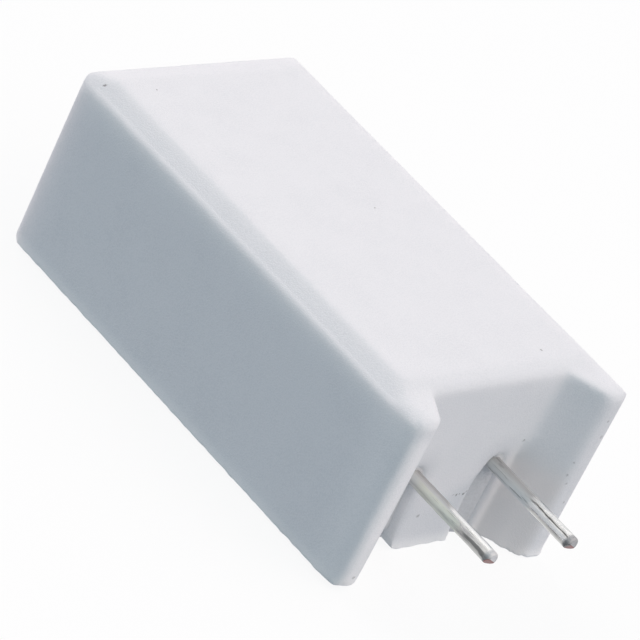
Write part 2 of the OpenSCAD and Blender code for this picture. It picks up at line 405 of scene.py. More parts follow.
# %% [markdown]
# ## An even skin for soft pieces
# The solids have few, large faces and exact arcs. A fired edge is softer than that, and three edges
# that meet run into each other. Bevels would need clean edge loops, so the surface is meshed again
# in even quads instead. Its points can then be drawn towards their neighbours, which melts edges and
# corners alike.

# %% Skin helpers
def apply_modifiers(piece):
    """Keep what the modifiers made as the piece's own mesh."""
    graph = bpy.context.evaluated_depsgraph_get()
    made = bpy.data.meshes.new_from_object(piece.evaluated_get(graph))
    old = piece.data
    piece.modifiers.clear()
    piece.data = made
    bpy.data.meshes.remove(old)


def even_skin(node, name, quad, add_shapes=None):
    """A new piece with the surface of a CAD node, and of shapes added to it, in even quads."""
    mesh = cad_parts[node].data.copy()
    if add_shapes:
        shape = bmesh.new()
        shape.from_mesh(mesh)
        add_shapes(shape)
        shape.to_mesh(mesh)
        shape.free()
    piece = bpy.data.objects.new(name, mesh)
    scene.collection.objects.link(piece)
    remesh = piece.modifiers.new("even_quads", "REMESH")
    remesh.mode = "VOXEL"
    remesh.voxel_size = quad
    apply_modifiers(piece)
    piece.data.materials.clear()
    return piece

# %% [markdown]
# ## The case
# The case is one pressed box, fired hard. Quads of 0.12 mm are fine enough for its softest edges. The
# solid's slots leave room round the leads, while the real ones close round the wire at their tops. A
# boolean join could narrow them, but a collar that is added before the meshing grows into the walls
# without a seam.

# %% The case's skin, with collars in the slots
CASE_QUAD = 0.12 * MM
SLOT_X = right_x
SLOT_W = 1.35 * MM
SLOT_ROOM = 0.2 * MM
SLOT_TOP = lead_z + lead_r + SLOT_ROOM
COLLAR_GAP = 0.07 * MM
COLLAR_DROP = 0.9 * MM
COLLAR_BITE = 0.3 * MM
ARCH_STEPS = 24


def arch(x, z, radius):
    """Points on the upper half of a circle, from its right end to its left one."""
    turns = [math.pi * i / ARCH_STEPS for i in range(ARCH_STEPS + 1)]
    return [(x + radius * math.cos(t), z + radius * math.sin(t)) for t in turns]


def add_collars(shape):
    """Narrow the top of both slots, so that it closes round the lead."""
    low = lead_z - COLLAR_DROP
    outer_r = SLOT_W / 2 + COLLAR_BITE
    for x in (-SLOT_X, SLOT_X):
        inner = arch(x, lead_z, lead_r + COLLAR_GAP)
        inner = [(x + SLOT_W / 2, low)] + inner + [(x - SLOT_W / 2, low)]
        outer = arch(x, SLOT_TOP - SLOT_W / 2, outer_r)
        outer = [(x + outer_r, low)] + outer + [(x - outer_r, low)]
        rows = [[shape.verts.new((px, y, pz)) for px, pz in line]
                for line in (inner, outer) for y in (face_y, cement_low.y)]
        near_in, far_in, near_out, far_out = rows
        for near, far in ((near_in, far_in), (far_in, far_out), (far_out, near_out), (near_out, near_in)):
            for k in range(len(inner) - 1):
                shape.faces.new((near[k], near[k + 1], far[k + 1], far[k]))
        for k in (0, -1):
            shape.faces.new((near_in[k], far_in[k], far_out[k], near_out[k]))
    bmesh.ops.recalc_face_normals(shape, faces=shape.faces)


case = even_skin("ceramic_case", "case", CASE_QUAD, add_collars)
print("case quads", len(case.data.polygons))

# %% [markdown]
# ## Worn slopes and a leaning tongue
# The sample has been handled. Its left rim is worn to a slope, and so are the far-left edge and the tip
# of the left foot. The tongue between the slots leans to the right towards the back. Cuts would need
# new edges in the mesh, so the points past a plane are moved onto it instead, and the quads follow.

# %% Moving points
def points_of(mesh):
    """The mesh's points as rows of a numpy array."""
    flat = np.empty(len(mesh.vertices) * 3)
    mesh.vertices.foreach_get("co", flat)
    return flat.reshape(-1, 3)


def move_points(mesh, points):
    """Put the mesh's points where the rows say."""
    mesh.vertices.foreach_set("co", points.astype(np.float32).ravel())
    mesh.update()


def ramp(values, start, end):
    """For each value, 0 before the start, 1 past the end, and a straight rise between them."""
    return np.clip((values - start) / (end - start), 0, 1)


def shave(points, place, slope, where=True):
    """Flatten what lies past the plane through a place, square to a slope."""
    outward = np.array(slope) / np.linalg.norm(slope)
    past = np.maximum((points - np.array(place)) @ outward, 0)
    points -= np.where(where, past, 0)[:, None] * outward

# %% Worn slopes and a leaning tongue
RIM_SLOPE = (-0.60, 0, 1)
RIM_Z = 8.76 * MM
FOOT_RIM_Z = 8.90 * MM
FAR_SLOPE = (-0.583, 0.812, -0.018)
FAR_EDGE = Vector((-6.363, 13.784, 9.15)) * MM
FOOT_INNER_X = 4.1 * MM
TIP_SLOPE = Vector((0.553, -0.833, 0))
TIP_REACH = 5.56 * MM
TIP_TOP = Vector((0, -10.085, 9.15)) * MM
TIP_TOP_SLOPE = (0, -0.6, 0.8)
RIGHT_LEAN = 0.28 * MM
LEFT_LEAN = 0.3 * MM
LEAN_HEIGHT = 2.4 * MM

points = points_of(case.data)
on_foot = points[:, 1] < face_y
shave(points, (case_low.x, 0, RIM_Z), RIM_SLOPE, ~on_foot)
shave(points, (case_low.x, 0, FOOT_RIM_Z), RIM_SLOPE, on_foot)
shave(points, FAR_EDGE, FAR_SLOPE)
on_left_foot = on_foot & (points[:, 0] < -FOOT_INNER_X)
shave(points, TIP_SLOPE * TIP_REACH, TIP_SLOPE, on_left_foot)
shave(points, TIP_TOP, TIP_TOP_SLOPE, on_left_foot)

x, y, z = points.T.copy()
right_edge = ramp(x, SLOT_X - SLOT_W, SLOT_X - SLOT_W / 2) * (x < SLOT_X)
left_edge = ramp(x, 0, SLOT_W / 2 - SLOT_X) * (x > -SLOT_X)
beside_slots = (y < cement_low.y) & ~on_foot
leaning = (RIGHT_LEAN * right_edge + LEFT_LEAN * left_edge) * beside_slots * ramp(z, LEAN_HEIGHT, 0)
points[:, 0] += leaning
move_points(case.data, points)
print("tongue leans by up to", round(leaning.max() / MM, 2), "mm")

# %% [markdown]
# ## Soft and crisp edges
# The front edges and the mouths of the slots are worn soft, while the back edges are crisp. A bevel
# would give all of them one width and one section. Drawing the points towards their neighbours can
# go on for more rounds in one place and be held back in another.

# %% Melting helpers
EASE = 0.5


def pull_to_neighbours(mesh, points):
    """For each point, the way to the middle of its neighbours, which is long at an edge."""
    flat = np.empty(len(mesh.edges) * 2, np.int32)
    mesh.edges.foreach_get("vertices", flat)
    first, second = flat.reshape(-1, 2).T
    count = np.bincount(flat, minlength=len(points))
    total = np.stack([
        np.bincount(first, points[second, axis], len(points))
        + np.bincount(second, points[first, axis], len(points))
        for axis in range(3)
    ], axis=1)
    return total / count[:, None] - points


def soften(mesh, rounds, hold=None):
    """Melt the edges of a mesh a little more with each round, and less where hold is near 1."""
    points = points_of(mesh)
    ease = EASE if hold is None else EASE * (1 - hold)[:, None]
    for _ in range(rounds):
        points += ease * pull_to_neighbours(mesh, points)
    move_points(mesh, points)

# %% Melting the edges
CASE_ROUNDS = 5
CRISP_HEIGHT = 0.7 * MM
CRISP_HOLD = 0.85
RIM_ROUNDS = 6
RIM_FROM_X = (-6.0 * MM, -6.2 * MM)
RIM_FROM_Z = (8.2 * MM, 8.5 * MM)
MOUTH_ROUNDS = 3
MOUTH_REACH = 0.35 * MM
LEFT_ROUNDS = 10
LEFT_CRISP = 0.3 * MM
LEFT_EDGE_X = -1.7 * MM
LEFT_BAND = 0.3 * MM

soften(case.data, CASE_ROUNDS, CRISP_HOLD * ramp(points[:, 2], CRISP_HEIGHT, 0))

x, y, z = points_of(case.data).T
soften(case.data, RIM_ROUNDS, 1 - ramp(x, *RIM_FROM_X) * ramp(z, *RIM_FROM_Z))

x, y, z = points_of(case.data).T
across = np.abs(np.abs(x) - SLOT_X) - SLOT_W / 2
beside = np.maximum.reduce([np.abs(across), np.abs(y - face_y), z - SLOT_TOP])
at_mouth = ramp(beside, 1.5 * MOUTH_REACH, 0.5 * MOUTH_REACH) * ramp(z, 0, CRISP_HEIGHT)
soften(case.data, MOUTH_ROUNDS, 1 - at_mouth)

x, y, z = points_of(case.data).T
at_left_edge = ramp(np.abs(x - LEFT_EDGE_X), 2 * LEFT_BAND, LEFT_BAND)
at_left_edge *= ramp(np.abs(y - face_y), 2 * MOUTH_REACH, MOUTH_REACH)
at_left_edge *= ramp(z, lead_z, lead_z - MM) * ramp(z, 0, LEFT_CRISP)
soften(case.data, LEFT_ROUNDS, 1 - at_left_edge)
print("edges melted in", CASE_ROUNDS, "rounds, and further in three places")

# %% [markdown]
# ## Walls that nobody sees
# The walls of the cavity lie behind the cement, where small quads only make the mesh heavy. A
# decimate modifier would thin out the whole case, so only the hidden quads are merged here.

# %% Merging the hidden walls
CAVITY_MARGIN = 0.1 * MM
LEDGE = 0.3 * MM
MERGE_ANGLE = math.radians(4)


def merge_hidden_walls(mesh):
    """Merge the quads on the cavity's walls, which the cement covers."""
    low = cement_low - Vector((CAVITY_MARGIN,) * 3)
    high = cement_high + Vector((CAVITY_MARGIN,) * 3)
    low.z = cement_low.z + LEDGE
    shape = bmesh.new()
    shape.from_mesh(mesh)
    middles = [(f, f.calc_center_median()) for f in shape.faces]
    hidden = {f for f, middle in middles if all(low[k] < middle[k] < high[k] for k in range(3))}
    edges = [e for e in shape.edges if hidden.issuperset(e.link_faces)]
    points = [v for v in shape.verts if hidden.issuperset(v.link_faces)]
    bmesh.ops.dissolve_limit(shape, angle_limit=MERGE_ANGLE, verts=points, edges=edges)
    bmesh.ops.triangulate(shape, faces=[f for f in shape.faces if len(f.verts) > 4])
    shape.to_mesh(mesh)
    shape.free()


merge_hidden_walls(case.data)
print("case faces once merged", len(case.data.polygons))

# %% [markdown]
# ## Corners of the tongue and the toes
# Three back corners differ from the solid. The tongue's left one is worn round, the left foot's toe is
# rounder than it was pressed, most of all on its outer side, and the right foot's toe is fuller, with
# a nick in it. They could be sculpted. Moving the points along rays from the middle of a corner's
# arc gives the same result in every run.

# %% Corner helpers
CORNER_SQUARE = 1.3


def corner_reach(points, axis, corner, radius):
    """Offsets from a corner arc's middle, in radii, and which points are in the corner's square."""
    offset = np.stack([(points[:, axis] - corner) / radius - 1, points[:, 2] / radius - 1], axis=1)
    inside = (offset < 0).all(axis=1) & (offset > -CORNER_SQUARE).all(axis=1)
    return offset, inside


def wear_corner(points, axis, corner, radius, where):
    """Pull the points of a sharp back corner in to an arc."""
    offset, inside = corner_reach(points, axis, corner, radius)
    length = np.linalg.norm(offset, axis=1)
    chosen = inside & where & (length > 1)
    worn = offset[chosen] / length[chosen][:, None]
    radius = np.broadcast_to(radius, len(points))[chosen]
    points[chosen, axis] = corner + (worn[:, 0] + 1) * radius
    points[chosen, 2] = (worn[:, 1] + 1) * radius


def fill_corner(points, axis, corner, radius, share):
    """Push the points of a round back corner out towards the sharp one, by a share of the way."""
    offset, inside = corner_reach(points, axis, corner, radius)
    chosen = inside & (share > 0)
    widest = np.abs(offset).max(axis=1)
    length = np.linalg.norm(offset, axis=1)
    grow = 1 + share * (length / np.maximum(widest, 1e-6) - 1) * ramp(length, 2 / 3, 1)
    points[chosen, axis] = corner + (offset[chosen, 0] * grow[chosen] + 1) * radius
    points[chosen, 2] = (offset[chosen, 1] * grow[chosen] + 1) * radius

# %% Worn and filled corners
WORN_R = 0.45 * MM
FACE_SLACK = 0.1 * MM
OUTER_TOE_X = -6.5 * MM
OUTER_TOE_R = 1.05 * MM
INNER_TOE_X = -5.55 * MM
INNER_TOE_R = 0.58 * MM
TOE_ROUNDS = 12
TOE_FROM_X = (-4.1 * MM, -4.4 * MM)
TOE_FROM_Y = (-9.0 * MM, -9.4 * MM)
TOE_FROM_Z = (1.4 * MM, 0.9 * MM)
TOE_R = 0.55 * MM
TOE_FILL = 0.75
NICK_X = 5.35 * MM
NICK_W = 0.12 * MM
NICK_SHARE = 0.25

points = points_of(case.data)
x, y, z = points.T
tongue = (np.abs(x) < SLOT_X) & (y > face_y - FACE_SLACK) & (y < cement_low.y)
wear_corner(points, 0, SLOT_W / 2 - SLOT_X + LEFT_LEAN, WORN_R, tongue)
toe_r = np.interp(x, [OUTER_TOE_X, INNER_TOE_X], [OUTER_TOE_R, INNER_TOE_R])
wear_corner(points, 1, feet_y, toe_r, x < -FOOT_INNER_X)
right_toe = np.clip((x - NICK_X) / NICK_W, NICK_SHARE, 1) * (x > FOOT_INNER_X)
fill_corner(points, 1, feet_y, TOE_R, TOE_FILL * right_toe)
move_points(case.data, points)
at_left_toe = ramp(x, *TOE_FROM_X) * ramp(y, *TOE_FROM_Y) * ramp(z, *TOE_FROM_Z)
soften(case.data, TOE_ROUNDS, 1 - at_left_toe)
print("left toe softened at", int((at_left_toe > 0).sum()), "points")

# %% [markdown]
# ## Unevenness and flash
# No face is quite flat after firing, and the press leaves a little ragged flash on the back edges.
# Bump in the material would leave the outline straight, so the points themselves are pushed.

# %% Normals and noise at the points
SEED_SHIFT = Vector((1, 2.7, -1.9))


def normals_of(mesh):
    """The mesh's point normals as rows of a numpy array."""
    flat = np.empty(len(mesh.vertices) * 3)
    mesh.vertex_normals.foreach_get("vector", flat)
    return flat.reshape(-1, 3)


def unevenness(points, size, seed):
    """Smooth noise from about -1 to 1 at each point, with bumps of this size."""
    shift = SEED_SHIFT * seed
    return np.array([noise.noise(Vector(p) / size + shift) for p in points])


def shade_smooth(mesh):
    """Let the shade run on from face to face."""
    mesh.polygons.foreach_set("use_smooth", np.ones(len(mesh.polygons), bool))

# %% Unevenness and flash
WARP = 0.012 * MM
WARP_SIZE = 4.5 * MM
FLASH = 0.07 * MM
FLASH_SIZE = 0.4 * MM
FLASH_HEIGHT = 0.35 * MM
EDGE_GAIN = 6

points = points_of(case.data)
outward = normals_of(case.data)
sharpness = np.linalg.norm(pull_to_neighbours(case.data, points), axis=1) / CASE_QUAD
at_back = ramp(points[:, 2], 1.5 * FLASH_HEIGHT, 0.5 * FLASH_HEIGHT)
ragged = at_back * np.clip(sharpness * EDGE_GAIN, 0, 1)
push = WARP * unevenness(points, WARP_SIZE, 1.0) + FLASH * ragged * unevenness(points, FLASH_SIZE, 5.0)
points += outward * push[:, None]
move_points(case.data, np.clip(points, cad_low, cad_high))
shade_smooth(case.data)
print("case pushed by up to", round(np.abs(push).max() / MM, 3), "mm")

# %% [markdown]
# ## Light that seeps through ceramic
# Light enters fired ceramic a little way and leaves it beside the spot. So the shade rolls softly over
# an edge that is crisp to the touch, and thin edges are lighter than their slope tells. Subsurface
# scattering would show this, but it is slow and grainy and is lost in an export. Here the shading
# normals come from copies of the mesh that are melted much further, and near thin edges they lean
# towards the light. The shape stays as it is.

# %% Normals of melted copies
GLOW_ROUNDS = 14
TIP_ROUNDS = 22
SIDE_ROUNDS = 138
SIDE_X = 6.2
FAR_SIDE_Y = 13.5
SIDE_FADE = 0.2
SIDE_TO_Z = (9.0, 8.8)
SIDE_FROM_Y = (-9.6, -9.0)
TIP_FROM_X = (-5.6, -5.9)
TIP_FROM_Y = (-8.8, -9.2)


def melted_normals(mesh, *rounds):
    """Point normals of a copy that is melted further and further, once after each count of rounds."""
    melted = mesh.copy()
    found = []
    for count in rounds:
        soften(melted, count)
        found.append(normals_of(melted))
    bpy.data.meshes.remove(melted)
    return found


def mix_rows(first, second, share):
    """The first rows where share is 0, the second ones where it is 1."""
    return first + share[:, None] * (second - first)


close_glow, tip_glow, wide_glow = melted_normals(case.data, GLOW_ROUNDS, TIP_ROUNDS, SIDE_ROUNDS)
x, y, z = points.T / MM
past_sides = np.maximum(np.abs(x) - SIDE_X, y - FAR_SIDE_Y)
on_sides = ramp(past_sides, 0, SIDE_FADE) * ramp(z, *SIDE_TO_Z) * ramp(y, *SIDE_FROM_Y)
at_tip = ramp(x, *TIP_FROM_X) * ramp(y, *TIP_FROM_Y)
glow = mix_rows(mix_rows(close_glow, tip_glow, at_tip), wide_glow, on_sides)
print("melted in", GLOW_ROUNDS, "to", GLOW_ROUNDS + TIP_ROUNDS + SIDE_ROUNDS, "rounds for the normals")

# %% Leans along the edges of the sides
UPRIGHT_GAIN = 1.4
BACK_LEAN = 0.4
FRONT_LEAN = 0.3
BACK_REACH = 0.5
BACK_TO_Z = (2.0, 1.0)
FLANK_X = (6.2, 6.4)
TOP_LEAN = 0.65
TOP_Z = 8.85
TOP_REACH = 0.35
TOP_TO_Z = (9.05, 8.85)
FAR_LEAN = 0.45
FAR_Y = 13.8
FAR_REACH = 0.6
NEAR_LEAN = 0.3
NEAR_Y = -10.3
NEAR_REACH = 0.3

facing = np.abs(outward)
upright = np.clip(UPRIGHT_GAIN * (1 - facing[:, 2]), 0, 1)
glow[:, 2] += upright * ramp(z, *BACK_TO_Z) * np.maximum(-glow[:, 2], 0)
glow[:, 2] += upright * np.exp(-z / BACK_REACH) * (BACK_LEAN * facing[:, 0] + FRONT_LEAN * facing[:, 1])
on_flanks = ramp(np.abs(x), *FLANK_X)
below_top = np.exp(-np.maximum(TOP_Z - z, 0) / TOP_REACH) * ramp(z, *TOP_TO_Z)
glow[:, 2] += on_flanks * TOP_LEAN * below_top
glow[:, 1] += on_flanks * upright * FAR_LEAN * np.exp((y - FAR_Y) / FAR_REACH)
glow[:, 1] -= on_flanks * upright * NEAR_LEAN * np.exp((NEAR_Y - y) / NEAR_REACH)
print("leans on", int((on_flanks > 0).sum()), "points of the flanks")

# %% Leans at the left foot and on the left rim
FOOT_LEAN = 0.05
FOOT_FROM_Y = (-8.0, -9.2)
BESIDE_TIP_X = (-5.4, -5.7)
BESIDE_TIP_Z = (8.6, 8.0)
FOOT_RISE = 0.2
RISE_FROM_Y = (-7.6, -9.0)
TIP_HOLD = 0.22
RIDGE_LEAN = 0.25
RIDGE_X = -6.31
RIDGE_W = 0.07
RIDGE_FROM_Z = (8.6, 8.7)
RIDGE_ENDS_Y = (-9.8, 13.0)
TIP_RISE = 0.2
TIP_END_Y = (-10.1, -10.25)

glow[:, 1] += on_flanks * upright * FOOT_LEAN * ramp(y, *FOOT_FROM_Y)
beside_tip = upright * ramp(x, *BESIDE_TIP_X) * ramp(z, *BESIDE_TIP_Z)
glow[:, 2] += beside_tip * FOOT_RISE * ramp(y, *RISE_FROM_Y)
# Half way round the tip's edge the normals are held back, which keeps the side's shade for longer.
turned = np.clip(-glow[:, 1], 0, 1)
glow[:, 1] += at_tip * TIP_HOLD * turned * 4 * turned * (1 - turned)
on_ridge = (y > RIDGE_ENDS_Y[0]) & (y < RIDGE_ENDS_Y[1])
ridge = np.exp(-((x - RIDGE_X) / RIDGE_W) ** 2) * ramp(z, *RIDGE_FROM_Z)
glow[:, 2] += RIDGE_LEAN * ridge * on_ridge
glow[:, 2] += beside_tip * TIP_RISE * ramp(y, *TIP_END_Y)
print("leans on", int((beside_tip > 0).sum()), "points beside the left foot's tip")

# %% Leans in the recess, and the finished case
INNER_LEAN = 0.15
INNER_FROM_Y = (face_y / MM - 0.1, face_y / MM - 0.4)
INNER_TO_X = (5.6, 5.2)
WALL_LEAN = 0.9
WALL_X = -1.6
WALL_BAND = 0.5
WALL_TO_Z = (4.0, 3.2)
HOLLOW_LEAN = 0.9
HOLLOW_FROM_X = (3.45, 3.85)
HOLLOW_TO_X = (4.6, 4.2)
HOLLOW_TO_Z = (5.8, 4.6)
HOLLOW_DEPTH = 0.15

on_inner = ramp(y, *INNER_FROM_Y) * ramp(np.abs(x), *INNER_TO_X)
glow[:, 1] -= INNER_LEAN * on_inner * facing[:, 0]
on_wall = (np.abs(x - WALL_X) < WALL_BAND) & (y > face_y / MM) & (y < cement_low.y / MM)
glow[:, 1] -= WALL_LEAN * on_wall * facing[:, 0] * ramp(z, *WALL_TO_Z)
hollow = ramp(np.abs(x), *HOLLOW_FROM_X) * ramp(np.abs(x), *HOLLOW_TO_X) * ramp(z, *HOLLOW_TO_Z)
glow[:, 0] -= np.sign(x) * HOLLOW_LEAN * hollow * (y < face_y / MM + HOLLOW_DEPTH)
glow /= np.linalg.norm(glow, axis=1)[:, None]
case.data.normals_split_custom_set_from_vertices(glow)
case.data.materials.append(ceramic)
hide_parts("ceramic_case")
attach(case, "root")
print("case faces", len(case.data.polygons))

# %% [markdown]
# ## Cement
# The filling is a pale, sandy paste that is poured in from the back. It climbs a little up the walls,
# dries with a rough skin, and also runs into the two lead slots, where it stops just short of the
# end face and sags into a shallow groove. Plugs of their own could fill the slots, but they are joined
# to the solid before its surface is meshed again, so that the cement stays one skin.

# %% The cement's material
CEMENT_PALE = (0.75, 0.75, 0.76, 1)
CEMENT_DARK = (0.67, 0.67, 0.675, 1)
SAND_GREY = (0.30, 0.29, 0.28, 1)
SAND_SHARE = 0.45
CEMENT_TOOTH = 0.035


def make_cement():
    """Pale, dull cement with sand in it."""
    made, tree, shader, point = start_material("set_cement")
    sand = place_group(tree, grain_group, Point=point, Grain_Size=0.14, Mottle_Size=1.7)
    specks = place_group(tree, speck_group, Point=point, Spacing=0.7, Size=0.14, Share=0.2)["Mask"]
    tone = calculate(tree, "MULTIPLY", sand["Grain"], share_of(tree, sand["Mottle"], 0.5, 1.4))
    body = mix_colours(tree, fade(tree, tone, 0.25, 0.8), CEMENT_PALE, CEMENT_DARK)
    colour = mix_colours(tree, calculate(tree, "MULTIPLY", specks, SAND_SHARE), body, SAND_GREY)
    tree.links.new(colour, shader.inputs["Base Color"])
    tree.links.new(share_of(tree, sand["Grain"], 0.75, 0.95), shader.inputs["Roughness"])
    shader.inputs["Specular IOR Level"].default_value = 0.2
    raise_surface(tree, shader, calculate(tree, "SUBTRACT", sand["Grain"], specks), CEMENT_TOOTH)
    return made


cement_finish = make_cement()
print("material", cement_finish.name)

# %% The cement's skin, with its plugs in the slots
CEMENT_QUAD = 0.13 * MM
PLUG_BITE = 0.3 * MM
PLUG_SINK = 0.05 * MM
PLUG_REACH = 3 * CEMENT_QUAD


def add_plugs(shape):
    """Fill both slots with a block that reaches from inside the cement to just behind the end face."""
    radius = SLOT_W / 2 + PLUG_BITE
    for x in (-SLOT_X, SLOT_X):
        outline = arch(x, SLOT_TOP - SLOT_W / 2, radius)
        outline += [(x - radius, cement_low.z), (x + radius, cement_low.z)]
        ends = [[shape.verts.new((px, y, pz)) for px, pz in outline]
                for y in (face_y + PLUG_SINK, cement_low.y + PLUG_REACH)]
        shape.faces.new(ends[0])
        shape.faces.new(list(reversed(ends[1])))
        for k in range(len(outline)):
            after = (k + 1) % len(outline)
            shape.faces.new((ends[0][after], ends[0][k], ends[1][k], ends[1][after]))
    bmesh.ops.recalc_face_normals(shape, faces=shape.faces)


cement = even_skin("cement_fill", "cement", CEMENT_QUAD, add_plugs)
print("cement faces", len(cement.data.polygons))

# %% The cement's rough back
CLIMB = 0.13 * MM
CLIMB_REACH = 0.35 * MM
SAND = 0.035 * MM
SAND_SIZE = 0.5 * MM
SWELL = 0.05 * MM
SWELL_SIZE = 4 * MM
FACE_BAND = 0.1 * MM

points = points_of(cement.data)
to_wall = np.minimum.reduce([
    points[:, 0] - cement_low.x, cement_high.x - points[:, 0],
    points[:, 1] - cement_low.y, cement_high.y - points[:, 1],
])
on_back = points[:, 2] < cement_low.z + FACE_BAND
climb = CLIMB * np.exp(-np.maximum(to_wall, 0) / CLIMB_REACH)
relief = SAND * unevenness(points, SAND_SIZE, 3.0) + SWELL * unevenness(points, SWELL_SIZE, 8.0)
points[:, 2] += np.where(on_back, relief - climb, 0)
print("cement's relief up to", round(np.abs(relief).max() / MM, 3), "mm")

# %% The cement's grooves in the slots
LEFT_GROOVE = (0.25 * MM, 0.45 * MM)
RIGHT_GROOVE = (0.45 * MM, 0.2 * MM)
LOW_GROOVE = 0.8
LOW_GROOVE_Z = 1.0 * MM
GROOVE_RISE = 0.9 * MM
GROOVE_FADE = 0.4 * MM
PLUG_SAND = 0.3

x, y, z = points.T.copy()
in_slot = y < cement_low.y - FACE_BAND
in_left = x < 0
out_of_slot = ramp(y, cement_low.y, face_y + PLUG_SINK)
across = np.clip(np.where(x > 0, x - SLOT_X, x + SLOT_X) / (SLOT_W / 2), -1, 1)
# The groove begins high at the slot's left wall and lower at the right one.
groove_top = lead_z - GROOVE_RISE * np.clip(across * 2, -1, 0.5)
depth = ramp(z, groove_top, groove_top - GROOVE_FADE)
at_left_wall = np.where(in_left, LEFT_GROOVE[0], RIGHT_GROOVE[0])
at_right_wall = np.where(in_left, LEFT_GROOVE[1], RIGHT_GROOVE[1])
groove = at_left_wall + (at_right_wall - at_left_wall) * (across + 1) / 2
groove *= depth * depth * (3 - 2 * depth)
groove *= 1 + LOW_GROOVE * ramp(z, LOW_GROOVE_Z, 0) * in_left
points[:, 1] += np.where(in_slot, out_of_slot * (groove + PLUG_SAND * np.abs(relief)), 0)
move_points(cement.data, np.maximum(points, cad_low))
shade_smooth(cement.data)
cement.data.materials.append(cement_finish)
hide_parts("cement_fill")
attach(cement, "root")
print("groove in the slots up to", round(groove.max() / MM, 2), "mm deep")

# %% [markdown]
# ## Tinned leads
# A lead is drawn copper wire with a skin of tin. Drawing leaves fine lines along it. Its tone round
# the wire is painted light: a painted highlight on top, painted shade on the greyer flanks, and the
# brightest band made matt so that it shows white. The first millimetres out of the case carry a matt
# film of flux and dust, which runs out in a tail along the left lead, and the film's tone round the
# wire is painted light as well. Painted dark reflections lie in a few long patches and along the drawn
# lines. The cutter that cropped the leads smeared the tin over their ends, with painted shade round
# the rim, and left a facet of bare copper below. A plain metal shader would mirror the white room
# alone, so tones, film and patches are placed by their angle round the wire and their station along it.

# %% Painted light round the wire
# Each list goes round the wire in degrees, from its right side over the top, with a tone at each stop.
# The tones are painted highlights and painted shade.
LEFT_TIN_PAINTED_LIGHT = [
    (20, 0.50), (55, 0.60), (72, 0.80), (84, 1.0), (105, 1.0), (112, 0.78), (119, 0.62), (140, 0.64),
    (150, 0.58), (160, 0.46), (180, 0.40), (194, 0.47), (206, 0.50), (225, 0.62), (236, 0.70), (325, 0.40),
]
RIGHT_TIN_PAINTED_LIGHT = [
    (20, 0.50), (60, 0.52), (76, 0.62), (86, 0.98), (106, 0.98), (113, 0.72), (123, 0.58), (128, 0.10),
    (133, 0.10), (139, 0.70), (146, 0.97), (172, 0.97), (180, 0.60), (194, 0.48), (215, 0.68), (325, 0.45),
]
FILM_PAINTED_LIGHT_LEFT = [
    (20, 0.5), (60, 0.42), (87, 0.42), (97, 0.49), (108, 0.61), (120, 0.74), (131, 0.87), (142, 0.92),
    (151, 1.0), (160, 0.95), (172, 0.84), (186, 0.80), (195, 0.92), (205, 0.98), (217, 0.85), (300, 0.6),
]
FILM_PAINTED_LIGHT_RIGHT = [
    (20, 0.5), (60, 0.50), (87, 0.48), (97, 0.45), (108, 0.50), (120, 0.56), (131, 0.65), (142, 0.76),
    (150, 0.81), (160, 0.82), (172, 0.90), (186, 0.88), (195, 0.81), (205, 0.84), (217, 0.93), (300, 0.6),
]
# Painted shade round the smeared rim: lighter on top, darker on the lower left flank.
SMEARED_RIM_PAINTED_SHADE = [
    (20, 0.75), (60, 0.85), (125, 1.0), (142, 0.85), (154, 0.6), (166, 0.42), (190, 0.36), (205, 0.38),
    (220, 0.45), (300, 0.5),
]
print("stops round the wire:", [len(tones) for tones in (LEFT_TIN_PAINTED_LIGHT, RIGHT_TIN_PAINTED_LIGHT, FILM_PAINTED_LIGHT_LEFT, FILM_PAINTED_LIGHT_RIGHT)])

# %% Angle and tone round a wire
TONE_WARMTH = 0.985


def round_the_wire(tree, point, x):
    """The angle round a lead's axis in degrees, the station along it, and the offsets aside and outwards."""
    place = add_node(tree, "ShaderNodeSeparateXYZ", Vector=point).outputs
    aside = calculate(tree, "SUBTRACT", place["X"], x / MM)
    above = calculate(tree, "SUBTRACT", place["Z"], lead_z / MM)
    turn = calculate(tree, "DEGREES", calculate(tree, "ARCTAN2", above, aside))
    square = calculate(tree, "ADD", calculate(tree, "MULTIPLY", aside, aside),
                       calculate(tree, "MULTIPLY", above, above))
    radius = calculate(tree, "SQRT", square)
    return calculate(tree, "FLOORED_MODULO", turn, 360.0), place["Y"], aside, radius


def tone_round(tree, angle, tones):
    """A painted brightness round the wire, from pairs of degrees and tone."""
    made = tree.nodes.new("ShaderNodeValToRGB")
    wire(tree, made.inputs["Fac"], calculate(tree, "DIVIDE", angle, 360.0))
    stops = made.color_ramp.elements
    for degrees, _ in tones[2:]:
        stops.new(degrees / 360)
    for stop, (degrees, tone) in zip(stops, tones):
        stop.position = degrees / 360
        stop.color = (tone, tone, tone * TONE_WARMTH, 1)
    return made.outputs["Color"]

# %% Bare tin, with its painted dark reflections
# Painted dark reflection, used for the drawn lines, the long patches and the unbared part of the facet.
PAINTED_DARK_REFLECTION = (0.06, 0.065, 0.07, 1)
WAVY = 16.0
PAINTED_HIGHLIGHT_FADE = (0.78, 0.95)
TIN_LINES = (0.58, 0.72)
TIN_LINE_SHARE = 0.45
PATCH_EDGE = (1.3, 0.35)


def bare_tin(tree, drawn, angle, tones):
    """Tin with its painted tones and the painted dark reflections of its drawn lines, and 1 where the
    painted highlight is brightest.
    """
    wavy = calculate(tree, "ADD", angle, share_of(tree, drawn["Patch"], -WAVY, WAVY))
    tone = tone_round(tree, wavy, tones)
    # The drawn lines are darkened with painted dark reflection.
    lines = calculate(tree, "MULTIPLY", fade(tree, drawn["Streak"], *TIN_LINES), TIN_LINE_SHARE)
    return mix_colours(tree, lines, tone, PAINTED_DARK_REFLECTION), fade(tree, tone, *PAINTED_HIGHLIGHT_FADE)


